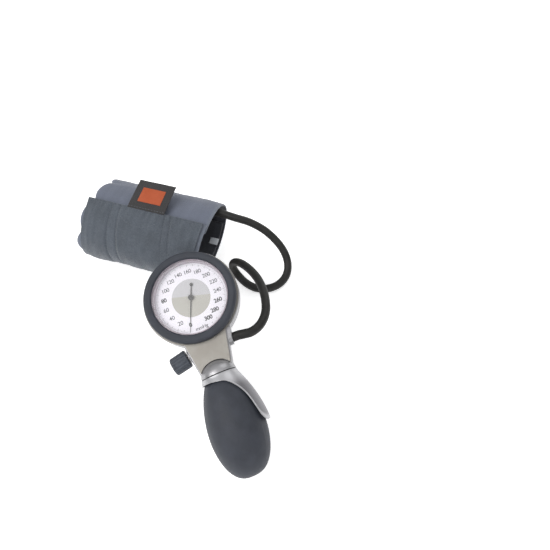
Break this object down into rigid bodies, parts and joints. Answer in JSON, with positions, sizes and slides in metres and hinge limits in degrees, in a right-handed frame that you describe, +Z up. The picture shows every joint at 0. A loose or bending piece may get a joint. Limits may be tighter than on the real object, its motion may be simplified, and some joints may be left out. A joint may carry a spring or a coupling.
{
  "type": "aneroid sphygmomanometer",
  "caption": "Palm-held aneroid blood pressure gauge with squeeze bulb, turning finger rest, bleed valve, black air hose and a rolled arm cuff.",
  "frame": {"origin": "on the floor under the middle of the rolled cuff, at the middle of the narrow strip that the roll rests on", "axes": "X along the roll to the end that the hose enters, Y from the gauge side to the far side, Z up"},
  "size_m": [0.2176, 0.2194, 0.0732],
  "materials": {
    "housing_silver": "satin silver paint on a moulded shell",
    "plate_champagne": "brushed grey-gold face, satin",
    "slate_rubber": "matt blue-grey rubber",
    "knob_slate": "matt blue-grey plastic",
    "hose_rubber": "matt black rubber",
    "bezel_mauve": "polished dark rim",
    "clear_lens": "clear, flat",
    "dial_white": "matt white print ground",
    "pointer_black": "matt black",
    "brass": "plain turned brass",
    "bronze_spring": "phosphor bronze strip and wire",
    "steel": "plain steel",
    "satin_chrome": "satin nickel plate",
    "black_plastic": "plain moulded plastic",
    "filter_felt": "white felt",
    "cuff_cloth": "lavender-grey brushed nylon",
    "cuff_navy": "dark navy nylon",
    "pocket_cloth": "blue-grey woven nylon",
    "bladder_rubber": "black rubber sheet",
    "label_woven": "charcoal woven tab",
    "label_orange": "terracotta woven field",
    "tag_cloth": "light grey satin tag"
  },
  "bodies": {
    "gauge_and_cuff": {"main_housing": "housing_silver", "front_plate": "plate_champagne", "housing_screws": "steel", "shock_ring": "slate_rubber", "bezel_ring": "bezel_mauve", "lens": "clear_lens", "dial_plate": "dial_white", "gauge_case": "steel", "movement_top_plate": "brass", "movement_bottom_plate": "brass", "movement_pillars": "brass", "hairspring": "bronze_spring", "pressure_capsule": "bronze_spring", "capsule_bar": "brass", "air_block": "black_plastic", "hose_fitting": "satin_chrome", "valve_bush": "satin_chrome", "valve_o_ring": "bladder_rubber", "check_valve_seat": "satin_chrome", "check_valve_spring": "steel", "air_filter": "filter_felt", "collar_seal": "black_plastic", "air_hose": "hose_rubber", "bladder_port": "black_plastic", "cuff_outer": "cuff_cloth", "cuff_bladder": "bladder_rubber", "cuff_lining": "cuff_navy", "cuff_inner_turn": "cuff_navy", "cuff_pocket": "pocket_cloth", "label_tab": "label_woven", "label_patch": "label_orange", "size_tag": "tag_cloth"},
    "sector": {"sector_gear": "brass"},
    "pointer_train": {"pointer": "pointer_black", "pointer_hub": "pointer_black", "pinion_shaft": "brass"},
    "rocker": {"rocking_shaft": "brass"},
    "lift_pin": {"push_pin": "brass"},
    "spindle": {"valve_spindle": "satin_chrome"},
    "knob": {"valve_knob": "knob_slate"},
    "grip": {"swivel_sleeve": "satin_chrome", "retaining_clip": "steel", "spoon": "satin_chrome", "bulb": "slate_rubber", "bulb_clamp_ring": "satin_chrome"},
    "outlet_flap": {"check_valve_disc": "bladder_rubber"},
    "inlet_flap": {"inlet_valve_disc": "bladder_rubber"}
  },
  "joints": [
    {"name": "sector_swing", "type": "hinge", "parent": "gauge_and_cuff", "child": "sector", "pos_m": [0.05721, -0.08253, 0.04849], "axis": [0.0726, -0.2925, 0.9535], "range_deg": [0, 40], "stiffness_Nm_per_rad": 0.0005, "springref_deg": -11.46},
    {"name": "pointer_turn", "type": "hinge", "parent": "gauge_and_cuff", "child": "pointer_train", "pos_m": [0.0703, -0.07411, 0.055], "axis": [0.0726, -0.2925, 0.9535], "range_deg": [-320, 0], "deforming": ["hairspring"]},
    {"name": "rocker_rock", "type": "hinge", "parent": "gauge_and_cuff", "child": "rocker", "pos_m": [0.05792, -0.08046, 0.04445], "axis": [0.613, -0.741, -0.274], "range_deg": [0, 24.8]},
    {"name": "pin_lift", "type": "slide", "parent": "gauge_and_cuff", "child": "lift_pin", "axis": [0.0726, -0.2925, 0.9535], "range_m": [0, 0.0022], "deforming": ["pressure_capsule"]},
    {"name": "spindle_slide", "type": "slide", "parent": "gauge_and_cuff", "child": "spindle", "axis": [-0.6553, -0.7347, -0.1755], "range_m": [0, 0.00105]},
    {"name": "knob_turn", "type": "hinge", "parent": "spindle", "child": "knob", "pos_m": [0.08186, -0.11415, 0.03586], "axis": [-0.6553, -0.7347, -0.1755], "range_deg": [0, 540]},
    {"name": "grip_turn", "type": "hinge", "parent": "gauge_and_cuff", "child": "grip", "pos_m": [0.10856, -0.11953, 0.03386], "axis": [0.613, -0.741, -0.274], "range_deg": [0, 180]},
    {"name": "outlet_flap_lift", "type": "slide", "parent": "gauge_and_cuff", "child": "outlet_flap", "axis": [-0.613, 0.741, 0.274], "range_m": [0, 0.0008], "stiffness_N_per_m": 10, "springref_m": -0.0005, "deforming": ["check_valve_spring"]},
    {"name": "inlet_flap_lift", "type": "slide", "parent": "gauge_and_cuff", "child": "inlet_flap", "axis": [0.0726, -0.2925, 0.9535], "range_m": [0, 0.0008]}
  ],
  "couplings": [
    {"joint": "pointer_turn", "follows": "sector_swing", "ratio": -8},
    {"joint": "rocker_rock", "follows": "sector_swing", "ratio": 0.62},
    {"joint": "pin_lift", "follows": "sector_swing", "m_per_rad": 0.0031492},
    {"joint": "knob_turn", "follows": "spindle_slide", "rad_per_m": 8975.9}
  ]
}
